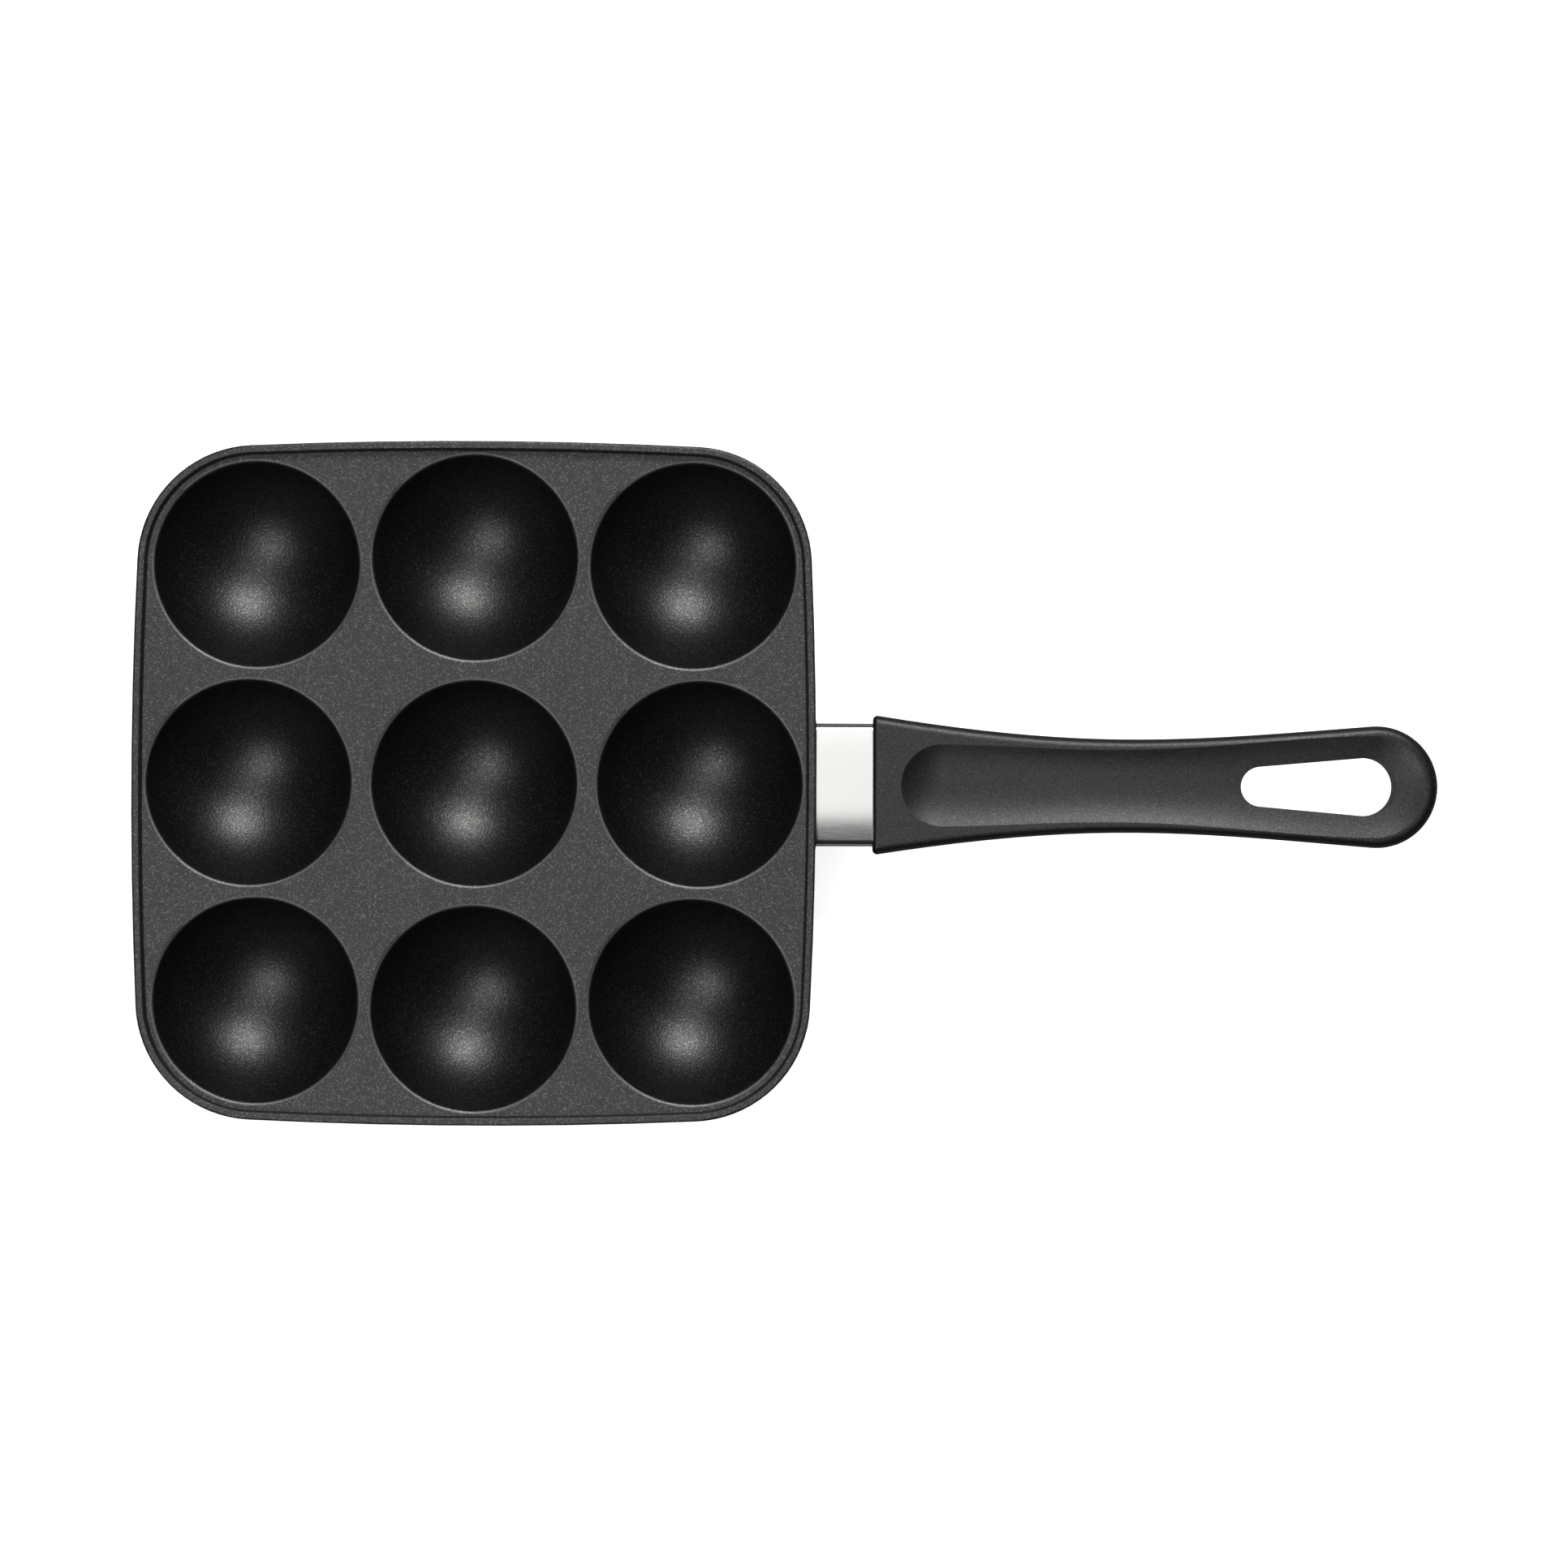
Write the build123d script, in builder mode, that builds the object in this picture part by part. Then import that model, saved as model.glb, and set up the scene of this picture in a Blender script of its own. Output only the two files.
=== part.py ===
from build123d import *
import os
from math import atan, cos, degrees, radians, sin, sqrt, tan

# A pan with nine round cups, for baking small balls of batter on a hob. The body is one casting with a lug on one
# side. A steel sleeve covers the lug, and a moulded grip is held on the lug's tang by a leaf spring.
# +X runs along the handle and +Z points up. The origin is the middle of the face that the centre cup stands on.

os.makedirs("parts", exist_ok=True)

# Cup: the inside is part of a sphere with a rounded lip, the outside two straight tapers above a flat foot
mouth_radius = 31.14
cup_depth = 28.0
lip_radius = 1.5
cup_wall = 4.0
cup_floor = 5.0
low_taper = 38.0
high_taper = 66.0
foot_radius = 17.0
foot_chamfer = 0.6

# Spacing of the cups: the narrowest flat between two lips, and between a lip and the rim
centre_web = 4.34
corner_web = 2.07
side_gap = 0.31
corner_gap = 1.09

# Rim, plateau and skirt
rim_rise = 3.0
rim_land = 2.35
rim_lean = 0.6
rim_outer_radius = 0.7
rim_inner_radius = 0.4
plate_thickness = 4.0
skirt_depth = 26.0
skirt_wall = 3.2
skirt_draft = 2.5

# Steel sleeve: a flattened tube with a crowned top and bottom
sleeve_width = 37.8
sleeve_height = 15.0
sleeve_crown = 2.4
sleeve_corner_radius = 2.6
sleeve_wall = 1.0
sleeve_length = 17.55
sleeve_drop = 2.5

# Lug: a pad that the sleeve butts, a neck inside the sleeve and a tang inside the grip
pad_inset = 0.05
pad_margin = 0.8
pad_depth = 1.8
neck_clearance = 0.25
neck_setback = 0.5
tang_width = 24.0
tang_height = 7.0
tang_length = 40.0
tang_corner_radius = 1.5
tang_tip_chamfer = 1.5

# Grip, with a waist in its outline and a rise towards its end
grip_length = 172.5
grip_front_width = 43.0
grip_waist_width = 28.66
grip_end_width = 37.3
waist_share = 0.457
front_slope = 0.16
rear_slope = 0.08
grip_front_height = 20.0
grip_end_height = 14.0
grip_rise = 5.0
grip_top_radius = 2.8
grip_bottom_radius = 6.0
grip_front_radius = 1.2
socket_clearance = 0.25
socket_end_gap = 0.5

# Hanging eye: the hull of a small and a large circle
eye_front_radius = 6.07
eye_rear_radius = 8.9
eye_span = 32.2
eye_rear_wall = 12.9

# Thumb trough in the grip's top
trough_front_gap = 8.0
trough_end_gap = 3.8
trough_front_width = 25.2
trough_waist_width = 22.2
trough_waist_share = 0.4
trough_eye_width = 27.3
trough_rear_width = 30.0
trough_end_width = 31.0
trough_depth = 2.4

# Leaf spring: a tab turned down into the grip, a leaf, and a hook turned up into the tang's notch
leaf_thickness = 0.8
leaf_width = 12.0
leaf_bend_radius = 0.6
leaf_clearance = 0.2
leaf_end_inset = 2.0
tab_depth = 1.6
hook_start = 16.0
hook_ramp = 5.6
hook_rise = 2.2
notch_play = 0.7
flex_room = 2.3
flex_length = 9.0

# One overrun serves every cut that runs past a face
overrun = 1.0

# Heights of the body
plateau_z = cup_floor + cup_depth
rim_z = plateau_z + rim_rise
plate_z = plateau_z - plate_thickness
skirt_z = rim_z - skirt_depth
lug_z = rim_z - sleeve_drop - sleeve_height / 2

# Bowl: the sphere through the bottom of the cup and the circle where it would meet the plateau
bowl_radius = (mouth_radius**2 + cup_depth**2) / (2 * cup_depth)
bowl_z = cup_floor + bowl_radius

# Lip: an arc that is tangent to the plateau at its outer end and to the bowl at its inner end
lip_z = plateau_z - lip_radius
lip_outer_radius = sqrt((bowl_radius + lip_radius) ** 2 - (bowl_z - lip_z) ** 2)
lip_turn = degrees(atan(lip_outer_radius / (bowl_z - lip_z)))

# Places of the cups: a corner cup keeps the corner web to both side cups beside it
side_pitch = 2 * lip_outer_radius + centre_web
corner_distance = 2 * lip_outer_radius + corner_web
corner_pitch = (side_pitch + sqrt(2 * corner_distance**2 - side_pitch**2)) / 2
cup_places = [(0, 0)]
for side in (-1, 1):
    cup_places += [(side * side_pitch, 0), (0, side * side_pitch)]
    cup_places += [(side * corner_pitch, corner_pitch), (side * corner_pitch, -corner_pitch)]

# Outline of the body: it keeps close to the lips of the cups in its corners and in the middle of each side
half_width = side_pitch + lip_outer_radius + side_gap + rim_lean + rim_land
corner_radius = lip_outer_radius + corner_gap + rim_lean + rim_land

# Stations along the handle
pad_x = half_width - pad_inset
grip_x = pad_x + sleeve_length


def body_outline(inset):
    """The body's outline from above, moved inwards by inset: corner arcs, and bowed sides tangent to them."""
    reach = half_width - inset
    radius = corner_radius - inset
    slack = corner_pitch - reach
    side_radius = (radius**2 - slack**2 - corner_pitch**2) / (2 * (slack + radius))
    touch = radius / (side_radius - radius)
    far = corner_pitch + touch * (slack + side_radius)
    near = corner_pitch + touch * corner_pitch
    diagonal = corner_pitch + radius / sqrt(2)
    quarter = [(far, -near), (reach, 0), (far, near), (diagonal, diagonal), (near, far)]
    with BuildSketch() as outline:
        with BuildLine():
            for turn in range(4):
                start, bow, join, corner, end = [Vector(*point).rotate(Axis.Z, 90 * turn) for point in quarter]
                ThreePointArc(start, bow, join)
                ThreePointArc(join, corner, end)
        make_face()
    return outline.sketch


def crosswise(x, z=lug_z):
    """A plane square to the handle, with its own x along Y and its own y upwards."""
    return Plane(origin=(x, 0, z), x_dir=(0, 1, 0), z_dir=(1, 0, 0))


def lengthwise(x, z=lug_z):
    """The upright plane through the handle's middle line, with its own x along the handle."""
    return Plane(origin=(x, 0, z), x_dir=(1, 0, 0), z_dir=(0, -1, 0))


# One cup's outside: both tapers touch a sphere that is a wall's thickness round the bowl
low_turn = radians(low_taper)
high_turn = radians(high_taper)
mid_turn = (low_turn + high_turn) / 2
bend_distance = (bowl_radius + cup_wall) / cos(high_turn - mid_turn)
bend = (bend_distance * sin(mid_turn), bowl_z - bend_distance * cos(mid_turn))
foot_top = (foot_radius, bend[1] - (bend[0] - foot_radius) * tan(low_turn))
cup_top = (bend[0] + (plateau_z - bend[1]) / tan(high_turn), plateau_z)
with BuildPart() as cup_outside:
    with BuildSketch(Plane.XZ):
        with BuildLine():
            Polyline((0, plateau_z), (0, 0), (foot_radius, 0), foot_top, bend, cup_top, close=True)
        make_face()
    revolve(axis=Axis.Z)
    chamfer(cup_outside.edges().group_by(Axis.Z)[0], length=foot_chamfer)

# One cup's inside: the sphere, opened out by its rounded lip
with BuildPart() as cup_inside:
    with Locations((0, 0, bowl_z)):
        Sphere(bowl_radius)
    with BuildSketch(Plane.XZ):
        with BuildLine():
            lip = CenterArc((lip_outer_radius, lip_z), lip_radius, 90, lip_turn)
            Polyline(lip @ 0, (0, plateau_z), (0, (lip @ 1).Y), lip @ 1)
        make_face()
    revolve(axis=Axis.Z)

# The space under the body: inside the skirt, and below it, round the cups
with BuildPart() as underside:
    with BuildSketch(Plane.XY.offset(skirt_z)):
        add(body_outline(skirt_wall + skirt_depth * tan(radians(skirt_draft))))
    extrude(amount=plate_z - skirt_z, taper=skirt_draft)
    with BuildSketch(Plane.XY.offset(-overrun)):
        add(body_outline(-overrun))
    extrude(amount=skirt_z + overrun)
    with Locations(*cup_places):
        add(cup_outside.part, mode=Mode.SUBTRACT)

# The sleeve's outline seen along the handle
with BuildSketch() as sleeve_oval:
    shoulder = sleeve_height / 2 - sleeve_crown
    with BuildLine():
        ThreePointArc((-sleeve_width / 2, shoulder), (0, sleeve_height / 2), (sleeve_width / 2, shoulder))
        Line((sleeve_width / 2, shoulder), (sleeve_width / 2, 0))
        mirror(about=Plane.XZ)
        mirror(about=Plane.YZ)
    make_face()
    fillet(sleeve_oval.vertices().filter_by(lambda vertex: vertex.Y != 0), radius=sleeve_corner_radius)

# Body: rim, sunk plateau, cups and skirt in one casting with the lug
with BuildPart() as pan_body:
    with BuildSketch(Plane.XY.offset(rim_z)):
        add(body_outline(0))
    extrude(amount=-rim_z, taper=skirt_draft)
    fillet(pan_body.edges().group_by(Axis.Z)[-1], radius=rim_outer_radius)
    add(underside.part, mode=Mode.SUBTRACT)
    with BuildSketch(Plane.XY.offset(rim_z)):
        add(body_outline(rim_land))
    extrude(amount=-rim_rise, taper=degrees(atan(rim_lean / rim_rise)), mode=Mode.SUBTRACT)
    rim_top = pan_body.faces().filter_by(Axis.Z).sort_by(Axis.Z)[-1]
    fillet(rim_top.inner_wires()[0].edges(), radius=rim_inner_radius)
    with Locations(*cup_places):
        add(cup_inside.part, mode=Mode.SUBTRACT)
    with BuildSketch(crosswise(pad_x)):
        offset(sleeve_oval.sketch, amount=pad_margin)
    extrude(amount=-pad_depth)
    with BuildSketch(crosswise(pad_x)):
        offset(sleeve_oval.sketch, amount=-sleeve_wall - neck_clearance)
    extrude(amount=sleeve_length - neck_setback)
    with BuildSketch(crosswise(grip_x - neck_setback)):
        RectangleRounded(tang_width, tang_height, tang_corner_radius)
    extrude(amount=tang_length + neck_setback)
    chamfer(pan_body.faces().sort_by(Axis.X)[-1].edges(), length=tang_tip_chamfer)
    with BuildSketch(lengthwise(grip_x + hook_start - notch_play, lug_z - tang_height / 2)):
        notch_length = notch_play + hook_ramp + leaf_thickness / 2 + leaf_clearance
        Rectangle(notch_length, 2 * (hook_rise + notch_play), align=(Align.MIN, Align.CENTER))
    extrude(amount=tang_width, both=True, mode=Mode.SUBTRACT)
pan_body.part.label = "pan_body"
export_step(pan_body.part, "parts/pan_body.step")

# Sleeve: a drawn tube between the pad on the body and the grip
with BuildPart() as steel_sleeve:
    with BuildSketch(crosswise(pad_x)):
        add(sleeve_oval.sketch)
        offset(sleeve_oval.sketch, amount=-sleeve_wall, mode=Mode.SUBTRACT)
    extrude(amount=sleeve_length)
steel_sleeve.part.label = "steel_sleeve"
export_step(steel_sleeve.part, "parts/steel_sleeve.step")

# Places on the grip, measured from its front face and from the lug's middle height
end_radius = grip_end_width / 2
end_x = grip_length - end_radius
end_turn = atan(rear_slope)
waist_x = waist_share * grip_length
front_top = grip_front_height / 2
end_top = front_top + grip_rise
end_bottom = end_top - grip_end_height
eye_rear_x = grip_length - eye_rear_wall - eye_rear_radius
eye_front_x = eye_rear_x - eye_span


def grip_top(x):
    """Height of the grip's top, x behind its front face: level at both ends, with an even rise between."""
    share = x / end_x
    return front_top + grip_rise * (3 * share**2 - 2 * share**3)


# Trough: round segments sunk in the grip's top, joined lengthwise and ended by half bowls
trough_start = trough_front_gap + trough_front_width / 2
trough_end = grip_length - trough_end_gap - trough_end_width / 2
trough_widths = [
    (trough_start, trough_front_width),
    (trough_waist_share * grip_length, trough_waist_width),
    (eye_front_x, trough_eye_width),
    (eye_front_x + eye_span / 2, trough_rear_width),
    (trough_end, trough_end_width),
]
with BuildPart() as trough:
    for x, width in trough_widths:
        with BuildSketch(crosswise(grip_x + x, lug_z + grip_top(x))):
            with BuildLine():
                bed = ThreePointArc((-width / 2, 0), (0, -trough_depth), (width / 2, 0))
                Polyline(bed @ 1, (width / 2, trough_depth), (-width / 2, trough_depth), bed @ 0)
            make_face()
    loft()
    for (x, width), towards in ((trough_widths[0], -1), (trough_widths[-1], 1)):
        centre = Vector(grip_x + x, 0, lug_z + grip_top(x))
        bed_radius = (width**2 / 4 + trough_depth**2) / (2 * trough_depth)
        with BuildSketch(Plane(origin=centre, x_dir=(0, towards, 0), z_dir=(towards, 0, 0))):
            with BuildLine():
                bed = RadiusArc((0, -trough_depth), (width / 2, 0), radius=-bed_radius)
                Polyline(bed @ 1, (width / 2, trough_depth), (0, trough_depth), bed @ 0)
            make_face()
        revolve(axis=Axis(centre, (0, 0, -1)), revolution_arc=180)

# Where the leaf spring lies: under the tang, from its tab to the upright back of its hook
leaf_top = -tang_height / 2
leaf_bottom = leaf_top - leaf_thickness
leaf_middle = leaf_top - leaf_thickness / 2
tab_x = tang_length - leaf_end_inset - leaf_thickness / 2
hook_x = hook_start + hook_ramp

# Grip: its outlines from above and from the side, rounded, then the trough, eye, socket and spring channel
with BuildPart() as handle_grip:
    with BuildSketch(Plane(origin=(grip_x, 0, lug_z))):
        with BuildLine():
            flank = Spline(
                (0, grip_front_width / 2),
                (waist_x, grip_waist_width / 2),
                (end_x - end_radius * sin(end_turn), end_radius * cos(end_turn)),
                tangents=((1, -front_slope), (1, 0), (1, rear_slope)),
            )
            Line((0, 0), flank @ 0)
            mirror(about=Plane.XZ)
            CenterArc((end_x, 0), end_radius, -90 - degrees(end_turn), 180 + 2 * degrees(end_turn))
        make_face()
    extrude(amount=grip_front_height, both=True)
    with BuildSketch(lengthwise(grip_x)):
        with BuildLine():
            top = Bezier((0, front_top), (end_x / 3, front_top), (2 * end_x / 3, end_top), (end_x, end_top))
            Polyline(top @ 1, (grip_length, end_top), (grip_length, end_bottom), (end_x, end_bottom))
            base = Bezier(
                (end_x, end_bottom), (2 * end_x / 3, end_bottom), (end_x / 3, -front_top), (0, -front_top)
            )
            Line(base @ 1, top @ 0)
        make_face()
    extrude(amount=grip_front_width, both=True, mode=Mode.INTERSECT)
    for upwards, radius in ((Axis.Z, grip_top_radius), (-Axis.Z, grip_bottom_radius)):
        front = handle_grip.faces().sort_by(Axis.X)[0]
        fillet(handle_grip.faces().sort_by(upwards)[-1].edges() - front.edges(), radius=radius)
    fillet(handle_grip.faces().sort_by(Axis.X)[0].edges(), radius=grip_front_radius)
    add(trough.part, mode=Mode.SUBTRACT)
    with BuildSketch(Plane(origin=(grip_x, 0, lug_z))):
        with Locations((eye_rear_x, 0)):
            Circle(eye_rear_radius)
        with Locations((eye_front_x, 0)):
            Circle(eye_front_radius)
        make_hull()
    extrude(amount=grip_front_height, both=True, mode=Mode.SUBTRACT)
    with BuildSketch(crosswise(grip_x)):
        RectangleRounded(
            tang_width + 2 * socket_clearance,
            tang_height + 2 * socket_clearance,
            tang_corner_radius + socket_clearance,
        )
    extrude(amount=tang_length + socket_end_gap, mode=Mode.SUBTRACT)
    with BuildSketch(lengthwise(grip_x, lug_z + leaf_top)):
        Rectangle(tab_x, leaf_thickness, align=(Align.MIN, Align.MAX))
        Rectangle(hook_x + flex_length, leaf_thickness + flex_room, align=(Align.MIN, Align.MAX))
        with Locations((tab_x, 0)):
            Rectangle(
                leaf_thickness + 2 * leaf_clearance,
                leaf_thickness + tab_depth + leaf_clearance,
                align=(Align.CENTER, Align.MAX),
            )
    extrude(amount=leaf_width / 2 + leaf_clearance, both=True, mode=Mode.SUBTRACT)
handle_grip.part.label = "handle_grip"
export_step(handle_grip.part, "parts/handle_grip.step")

# Spring: strip steel bent along one line
with BuildPart() as lock_spring:
    with BuildSketch(lengthwise(grip_x)):
        with BuildLine():
            FilletPolyline(
                (tab_x, leaf_bottom - tab_depth),
                (tab_x, leaf_middle),
                (hook_x, leaf_middle),
                (hook_x, leaf_middle + hook_rise),
                (hook_start, leaf_middle),
                radius=leaf_bend_radius,
            )
        trace(line_width=leaf_thickness)
    extrude(amount=leaf_width / 2, both=True)
lock_spring.part.label = "lock_spring"
export_step(lock_spring.part, "parts/lock_spring.step")
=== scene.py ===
import math

import bpy
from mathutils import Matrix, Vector


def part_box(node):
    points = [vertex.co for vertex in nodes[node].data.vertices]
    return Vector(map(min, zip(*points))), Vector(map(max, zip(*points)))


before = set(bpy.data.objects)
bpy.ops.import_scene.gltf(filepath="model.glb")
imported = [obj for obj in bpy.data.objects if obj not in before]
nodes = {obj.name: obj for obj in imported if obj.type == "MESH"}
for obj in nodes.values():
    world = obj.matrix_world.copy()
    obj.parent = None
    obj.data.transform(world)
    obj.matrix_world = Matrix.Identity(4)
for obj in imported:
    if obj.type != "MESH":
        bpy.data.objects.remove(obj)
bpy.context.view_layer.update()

# Places and sizes of the model, in metres: the top of the rim, the spheres of the cups, and how far the cups
# stand from the middle one, beside it and at the corners

rim_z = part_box("pan_body")[1].z
bowl_radius = 0.03132
bowl_z = 0.03632
side_pitch = 0.06926
corner_pitch = 0.06695

# Ranges that most of a noise's values fill

noise_middle = (0.35, 0.65)
noise_wide = (0.3, 0.7)

bevel_samples = 6
white = (1, 1, 1)


# Tools for node materials

def new_material(name):
    """An empty node material with its output and a Principled shader."""
    material = bpy.data.materials.new(name)
    material.use_nodes = True
    tree = material.node_tree
    tree.nodes.clear()
    output = tree.nodes.new("ShaderNodeOutputMaterial")
    shader = tree.nodes.new("ShaderNodeBsdfPrincipled")
    tree.links.new(shader.outputs["BSDF"], output.inputs["Surface"])
    return material, tree, shader


def feed(tree, value, socket):
    """Links a socket, or sets a number, vector or colour."""
    if isinstance(value, bpy.types.NodeSocket):
        tree.links.new(value, socket)
    elif isinstance(value, tuple) and socket.type == "RGBA":
        socket.default_value = (*value, 1)
    else:
        socket.default_value = value


def place(tree):
    """Object coordinates, in metres."""
    return tree.nodes.new("ShaderNodeTexCoord").outputs["Object"]


def vector_node(tree, operation, first, second=None):
    """A vector operation on a socket and, where given, on a fixed vector."""
    node = tree.nodes.new("ShaderNodeVectorMath")
    node.operation = operation
    tree.links.new(first, node.inputs[0])
    if second:
        node.inputs[1].default_value = second
    return node


def stretched(tree, where, scale):
    """Coordinates scaled apart along X, Y and Z."""
    return vector_node(tree, "MULTIPLY", where, scale).outputs[0]


def noise(tree, where, scale, detail=2.0, roughness=0.5):
    """Soft noise with scale features to the metre."""
    node = tree.nodes.new("ShaderNodeTexNoise")
    node.inputs["Scale"].default_value = scale
    node.inputs["Detail"].default_value = detail
    node.inputs["Roughness"].default_value = roughness
    tree.links.new(where, node.inputs["Vector"])
    return node.outputs["Fac"]


def cells(tree, where, scale):
    """A random number for each small cell, with scale cells to the metre."""
    node = tree.nodes.new("ShaderNodeTexVoronoi")
    node.inputs["Scale"].default_value = scale
    tree.links.new(where, node.inputs["Vector"])
    split = tree.nodes.new("ShaderNodeSeparateColor")
    tree.links.new(node.outputs["Color"], split.inputs["Color"])
    return split.outputs["Red"]


def math_node(tree, operation, first, second=0.0):
    node = tree.nodes.new("ShaderNodeMath")
    node.operation = operation
    feed(tree, first, node.inputs[0])
    feed(tree, second, node.inputs[1])
    return node.outputs[0]


def highest(tree, *values):
    """The highest of several numbers."""
    result = values[0]
    for value in values[1:]:
        result = math_node(tree, "MAXIMUM", result, value)
    return result


def spread(tree, value, source, target=(0.0, 1.0)):
    """Maps the range source onto target, and holds at its ends."""
    node = tree.nodes.new("ShaderNodeMapRange")
    for name, number in zip(("From Min", "From Max", "To Min", "To Max"), (*source, *target)):
        node.inputs[name].default_value = number
    tree.links.new(value, node.inputs["Value"])
    return node.outputs["Result"]


def blend(tree, factor, first, second):
    """A colour between two, each a tuple or a socket."""
    node = tree.nodes.new("ShaderNodeMix")
    node.data_type = "RGBA"
    feed(tree, factor, node.inputs["Factor"])
    feed(tree, first, node.inputs[6])
    feed(tree, second, node.inputs[7])
    return node.outputs[2]


def between(tree, factor, first, second):
    """A number between two."""
    node = tree.nodes.new("ShaderNodeMix")
    feed(tree, factor, node.inputs["Factor"])
    feed(tree, first, node.inputs[2])
    feed(tree, second, node.inputs[3])
    return node.outputs[0]


def either(tree, factor, first, second):
    """A vector between two."""
    node = tree.nodes.new("ShaderNodeMix")
    node.data_type = "VECTOR"
    feed(tree, factor, node.inputs["Factor"])
    tree.links.new(first, node.inputs[4])
    tree.links.new(second, node.inputs[5])
    return node.outputs[1]


def bump(tree, height, distance, strength=1.0, normal=None):
    """A normal from a height, distance metres deep."""
    node = tree.nodes.new("ShaderNodeBump")
    node.inputs["Distance"].default_value = distance
    feed(tree, strength, node.inputs["Strength"])
    tree.links.new(height, node.inputs["Height"])
    if normal:
        tree.links.new(normal, node.inputs["Normal"])
    return node.outputs["Normal"]


def soft_edges(tree, radius):
    """Normals that round the edges off."""
    node = tree.nodes.new("ShaderNodeBevel")
    node.samples = bevel_samples
    node.inputs["Radius"].default_value = radius
    return node.outputs["Normal"]


def cup_distances(tree, where):
    """The distance to the nearest cup's sphere centre, and the level distance to its axis."""
    folded = vector_node(tree, "ABSOLUTE", where).outputs[0]
    flat = stretched(tree, folded, (1, 1, 0))
    places = ((0, 0), (side_pitch, 0), (0, side_pitch), (corner_pitch, corner_pitch))
    results = []
    for start, height in ((folded, bowl_z), (flat, 0)):
        nearest = None
        for x, y in places:
            reach = vector_node(tree, "DISTANCE", start, (x, y, height)).outputs["Value"]
            nearest = math_node(tree, "MINIMUM", nearest, reach) if nearest else reach
        results.append(nearest)
    return results


# Coating of the body: edges are metres outside the bowl's sphere, and grain is features to the metre

cup_edge = (0.0001, 0.0009)
# The lip band is a painted highlight: the coat is made lighter and more metallic in a ring on each cup's lip
lip_highlight_rise = (0.0003, 0.0007)
lip_highlight_fall = (0.0008, 0.0012)
lip_highlight_strength = 0.6
foot_face = 0.0002

# The darker shades in the cups are painted shade of the hollows; the flakes in them are the coat's own
cup_painted_shade_darks = (0.0010, 0.0010, 0.0010), (0.0016, 0.0016, 0.0015)
cup_flake = (0.105, 0.098, 0.09)
plate_darks = (0.0090, 0.0090, 0.0090), (0.0115, 0.0115, 0.0115)
plate_flake = (0.125, 0.125, 0.125)
# Tone of the painted highlight on the lips
lip_highlight_tone = (0.2, 0.2, 0.2)
foot_tones = (0.66, 0.66, 0.67), (0.72, 0.72, 0.73)

coat_cloud_grain = 60
coat_flake_grain = 3000
coat_flake_limits = (0.82, 0.9)
coat_dull_grain = 3000
coat_dull = (0.0, 0.42)
coat_patch_grain = 900
coat_pebble_grain = 1500
coat_pebble_depth = 0.0001
coat_pebble_strengths = (1.0, 0.8)
coat_specular = 0.75
coat_edge = 0.0004

cup_roughness = (0.39, 0.45)
plate_roughness = (0.46, 0.54)
foot_roughness = 0.32
foot_turning = 9000.0
foot_groove = 0.00001
foot_groove_strength = 0.6


def past_bowl(band):
    """A band of distances outside the bowl's sphere, as distances from its centre."""
    return tuple(bowl_radius + reach for reach in band)


def coating():
    """Non-stick coating with a fine pebbled grain: dark and smooth in the cups, darker there as painted
    shade of the hollows, flaked grey outside them, with a painted highlight as a lighter, more metallic band
    on the lips, and ground away to bare turned metal on the feet."""
    material, tree, shader = new_material("coating")
    where = place(tree)
    from_centre, from_axis = cup_distances(tree, where)
    outside = spread(tree, from_centre, past_bowl(cup_edge))
    # Painted highlight: a band on each lip, lighter and more metallic than the coat around it
    rising = spread(tree, from_centre, past_bowl(lip_highlight_rise))
    falling = spread(tree, from_centre, past_bowl(lip_highlight_fall), (1.0, 0.0))
    painted_lip_highlight = math_node(tree, "MULTIPLY", math_node(tree, "MULTIPLY", rising, falling), lip_highlight_strength)
    split = tree.nodes.new("ShaderNodeSeparateXYZ")
    tree.links.new(where, split.inputs[0])
    ground = math_node(tree, "LESS_THAN", split.outputs["Z"], foot_face)

    flake = spread(tree, cells(tree, where, coat_flake_grain), coat_flake_limits)
    cloud = spread(tree, noise(tree, where, coat_cloud_grain, detail=3), noise_middle)
    # The cups' darker tone is painted shade of the hollows
    cup_tone_with_painted_shade = blend(tree, flake, blend(tree, cloud, *cup_painted_shade_darks), cup_flake)
    plate_tone = blend(tree, flake, blend(tree, cloud, *plate_darks), plate_flake)
    coat_tone = blend(tree, painted_lip_highlight, blend(tree, outside, cup_tone_with_painted_shade, plate_tone), lip_highlight_tone)
    feed(tree, blend(tree, ground, coat_tone, blend(tree, cloud, *foot_tones)), shader.inputs["Base Color"])
    dull = spread(tree, noise(tree, where, coat_dull_grain, roughness=0.6), noise_middle, coat_dull)
    feed(tree, highest(tree, ground, flake, dull, painted_lip_highlight), shader.inputs["Metallic"])

    patch = noise(tree, where, coat_patch_grain)
    cup_rough = spread(tree, patch, noise_wide, cup_roughness)
    plate_rough = spread(tree, patch, noise_wide, plate_roughness)
    coat_rough = between(tree, outside, cup_rough, plate_rough)
    feed(tree, between(tree, ground, coat_rough, foot_roughness), shader.inputs["Roughness"])
    shader.inputs["Specular IOR Level"].default_value = coat_specular

    pebble = noise(tree, where, coat_pebble_grain, roughness=0.55)
    strength = between(tree, outside, *coat_pebble_strengths)
    coat_normal = bump(tree, pebble, coat_pebble_depth, strength, soft_edges(tree, coat_edge))
    wave = math_node(tree, "SINE", math_node(tree, "MULTIPLY", from_axis, foot_turning))
    foot_normal = bump(tree, wave, foot_groove, foot_groove_strength)
    feed(tree, either(tree, ground, coat_normal, foot_normal), shader.inputs["Normal"])
    return material


# Steel of the sleeve, brushed along X

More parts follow.
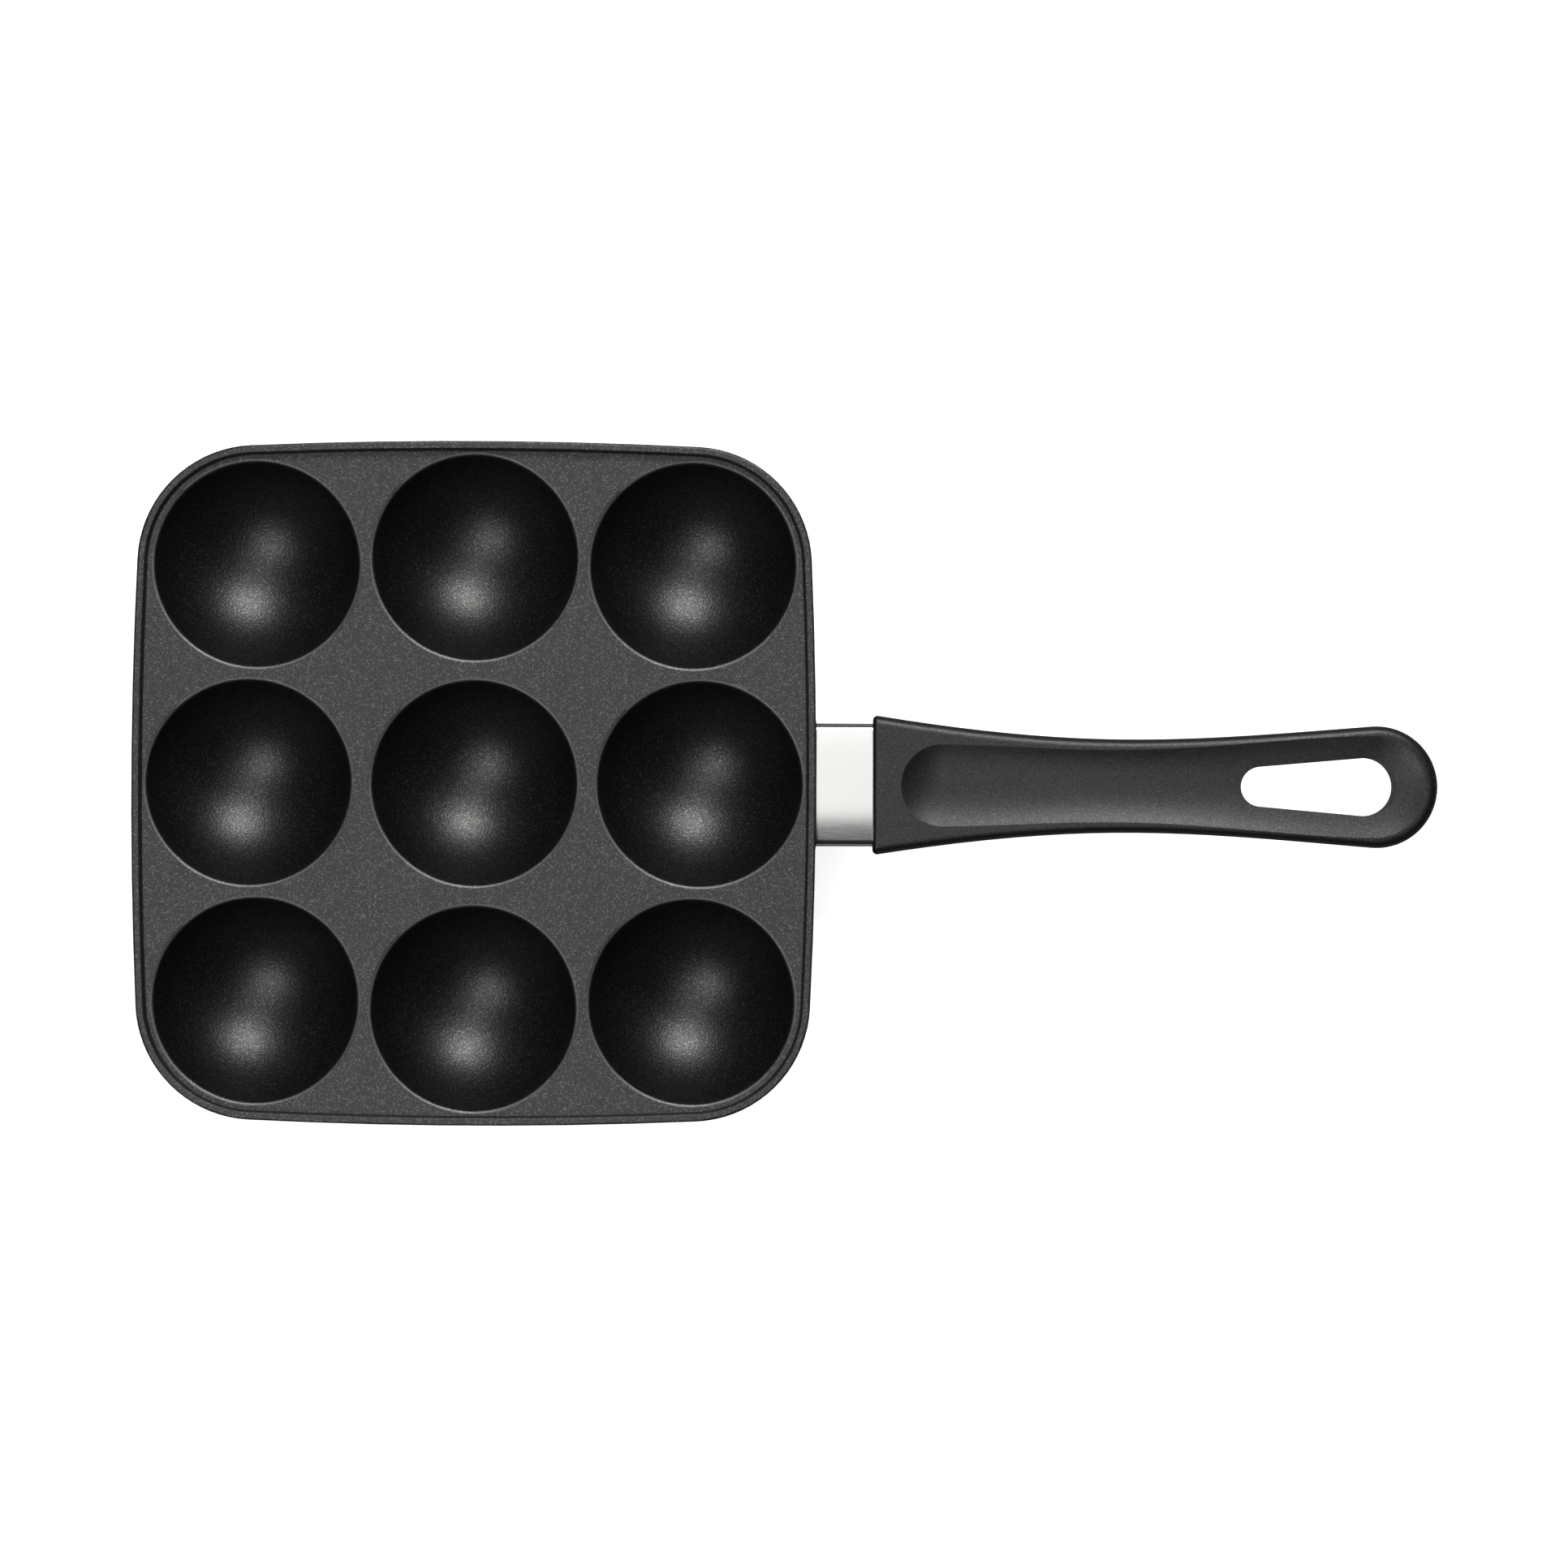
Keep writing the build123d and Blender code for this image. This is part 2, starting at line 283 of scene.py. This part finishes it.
brush_grain = (150, 5000, 5000)
brush_tones = (0.47, 0.465, 0.457), (0.51, 0.505, 0.496)
brush_roughness = (0.19, 0.24)
brush_depth = 0.000001
brush_strength = 0.3
sleeve_edge = 0.0003


def satin_steel():
    """Satin stainless steel, brushed faintly along the handle."""
    material, tree, shader = new_material("satin_steel")
    brushed = noise(tree, stretched(tree, place(tree), brush_grain), 1, detail=3)
    tone = blend(tree, spread(tree, brushed, noise_wide), *brush_tones)
    feed(tree, tone, shader.inputs["Base Color"])
    shader.inputs["Metallic"].default_value = 1
    feed(tree, spread(tree, brushed, noise_wide, brush_roughness), shader.inputs["Roughness"])
    normal = bump(tree, brushed, brush_depth, brush_strength, soft_edges(tree, sleeve_edge))
    feed(tree, normal, shader.inputs["Normal"])
    return material


# Phenolic of the grip

grip_darks = (0.0024, 0.0032, 0.0042), (0.0034, 0.0041, 0.0050)
grip_flake = (0.056, 0.059, 0.064)
grip_cloud_grain = 35
grip_flake_grain = 3000
grip_flake_limits = (0.85, 0.93)
grip_dull_grain = 2600
grip_dull = (0.0, 0.42)
grip_patch_grain = 1200
grip_roughness = (0.42, 0.46)
grip_specular = 0.62
grip_pebble_grain = 2000
grip_pebble_depth = 0.00005
grip_edge = 0.0003


def phenolic():
    """Moulded phenolic: blue-black with a fine matt grain."""
    material, tree, shader = new_material("phenolic")
    where = place(tree)
    flake = spread(tree, cells(tree, where, grip_flake_grain), grip_flake_limits)
    cloud = spread(tree, noise(tree, where, grip_cloud_grain, detail=3), noise_middle)
    tone = blend(tree, flake, blend(tree, cloud, *grip_darks), grip_flake)
    feed(tree, tone, shader.inputs["Base Color"])
    dull = spread(tree, noise(tree, where, grip_dull_grain, roughness=0.6), noise_middle, grip_dull)
    feed(tree, highest(tree, flake, dull), shader.inputs["Metallic"])
    rough = spread(tree, noise(tree, where, grip_patch_grain), noise_wide, grip_roughness)
    feed(tree, rough, shader.inputs["Roughness"])
    shader.inputs["Specular IOR Level"].default_value = grip_specular
    pebble = noise(tree, where, grip_pebble_grain, roughness=0.55)
    normal = bump(tree, pebble, grip_pebble_depth, 1.0, soft_edges(tree, grip_edge))
    feed(tree, normal, shader.inputs["Normal"])
    return material


# Steel of the spring, rolled along X

rolled_grain = (200, 6000, 3000)
rolled_tones = (0.4, 0.4, 0.41), (0.5, 0.5, 0.51)
rolled_roughness = (0.3, 0.4)


def spring_steel():
    """Rolled spring steel with faint lengthwise lines."""
    material, tree, shader = new_material("spring_steel")
    rolled = noise(tree, stretched(tree, place(tree), rolled_grain), 1)
    feed(tree, blend(tree, rolled, *rolled_tones), shader.inputs["Base Color"])
    shader.inputs["Metallic"].default_value = 1
    feed(tree, spread(tree, rolled, noise_wide, rolled_roughness), shader.inputs["Roughness"])
    return material


finishes = {
    "pan_body": coating(),
    "steel_sleeve": satin_steel(),
    "handle_grip": phenolic(),
    "lock_spring": spring_steel(),
}
for name, material in finishes.items():
    nodes[name].material_slots[0].material = material


# Floor and world: white for the camera, with the object's shadow on the floor, and darker for all other rays

floor_reach = 1.5
floor_seen = (0.8, 0.8, 0.8)
floor_reflected = (0.3, 0.3, 0.3)
floor_glow = 0.87
floor_roughness = 0.9
world_fill = 0.02


def camera_ray(tree):
    """1 where the camera looks straight at the surface, and 0 for reflections and bounced light."""
    return tree.nodes.new("ShaderNodeLightPath").outputs["Is Camera Ray"]


def floor_finish():
    material, tree, shader = new_material("floor")
    seen = camera_ray(tree)
    feed(tree, blend(tree, seen, floor_reflected, floor_seen), shader.inputs["Base Color"])
    shader.inputs["Roughness"].default_value = floor_roughness
    shader.inputs["Specular IOR Level"].default_value = 0
    feed(tree, math_node(tree, "MULTIPLY", seen, floor_glow), shader.inputs["Emission Strength"])
    feed(tree, white, shader.inputs["Emission Color"])
    return material


floor_mesh = bpy.data.meshes.new("floor")
corners = [(x * floor_reach, y * floor_reach, 0) for x, y in ((-1, -1), (1, -1), (1, 1), (-1, 1))]
floor_mesh.from_pydata(corners, [], [(0, 1, 2, 3)])
floor_mesh.materials.append(floor_finish())
floor = bpy.data.objects.new("floor", floor_mesh)
bpy.context.scene.collection.objects.link(floor)

world = bpy.data.worlds.new("world")
bpy.context.scene.world = world
world.use_nodes = True
background = world.node_tree.nodes["Background"]
feed(world.node_tree, white, background.inputs["Color"])
world_strength = highest(world.node_tree, camera_ray(world.node_tree), world_fill)
feed(world.node_tree, world_strength, background.inputs["Strength"])


# Lamps: a long softbox overhead, a strong one towards +Y, and a smaller one on the other side

aim = Vector((0.05, 0, rim_z))
lamp_distance = 1.9


def softbox(name, from_up, turn, size, radiance):
    """A rectangular lamp, from_up degrees off vertical and turn degrees from +X, that faces the object."""
    light = bpy.data.lights.new(name, "AREA")
    light.shape = "RECTANGLE"
    light.size, light.size_y = size
    light.energy = radiance * math.pi * size[0] * size[1]
    lamp = bpy.data.objects.new(name, light)
    tilt, round_z = math.radians(from_up), math.radians(turn)
    level = math.sin(tilt)
    direction = Vector((level * math.cos(round_z), level * math.sin(round_z), math.cos(tilt)))
    lamp.location = aim + direction * lamp_distance
    lamp.rotation_euler = direction.to_track_quat("Z", "Y").to_euler()
    bpy.context.scene.collection.objects.link(lamp)


softbox("overhead", from_up=7.2, turn=90, size=(0.62, 1.7), radiance=2.05)
softbox("main", from_up=47, turn=79, size=(0.95, 0.7), radiance=15.0)
softbox("second", from_up=27.5, turn=230, size=(0.65, 0.6), radiance=8.0)


# Camera: straight above, as in the photograph

view_height = 1.65
view_width = 0.4803
view_centre = (0.0951, 0.0002)
view_roll = 0.25

camera_data = bpy.data.cameras.new("camera")
camera_data.sensor_width = 36
camera_data.lens = camera_data.sensor_width * view_height / view_width
camera_data.clip_end = 20
camera = bpy.data.objects.new("camera", camera_data)
camera.location = (*view_centre, rim_z + view_height)
camera.rotation_euler = (0, 0, math.radians(view_roll))
bpy.context.scene.collection.objects.link(camera)
bpy.context.scene.camera = camera
bpy.context.scene.view_settings.view_transform = "Standard"
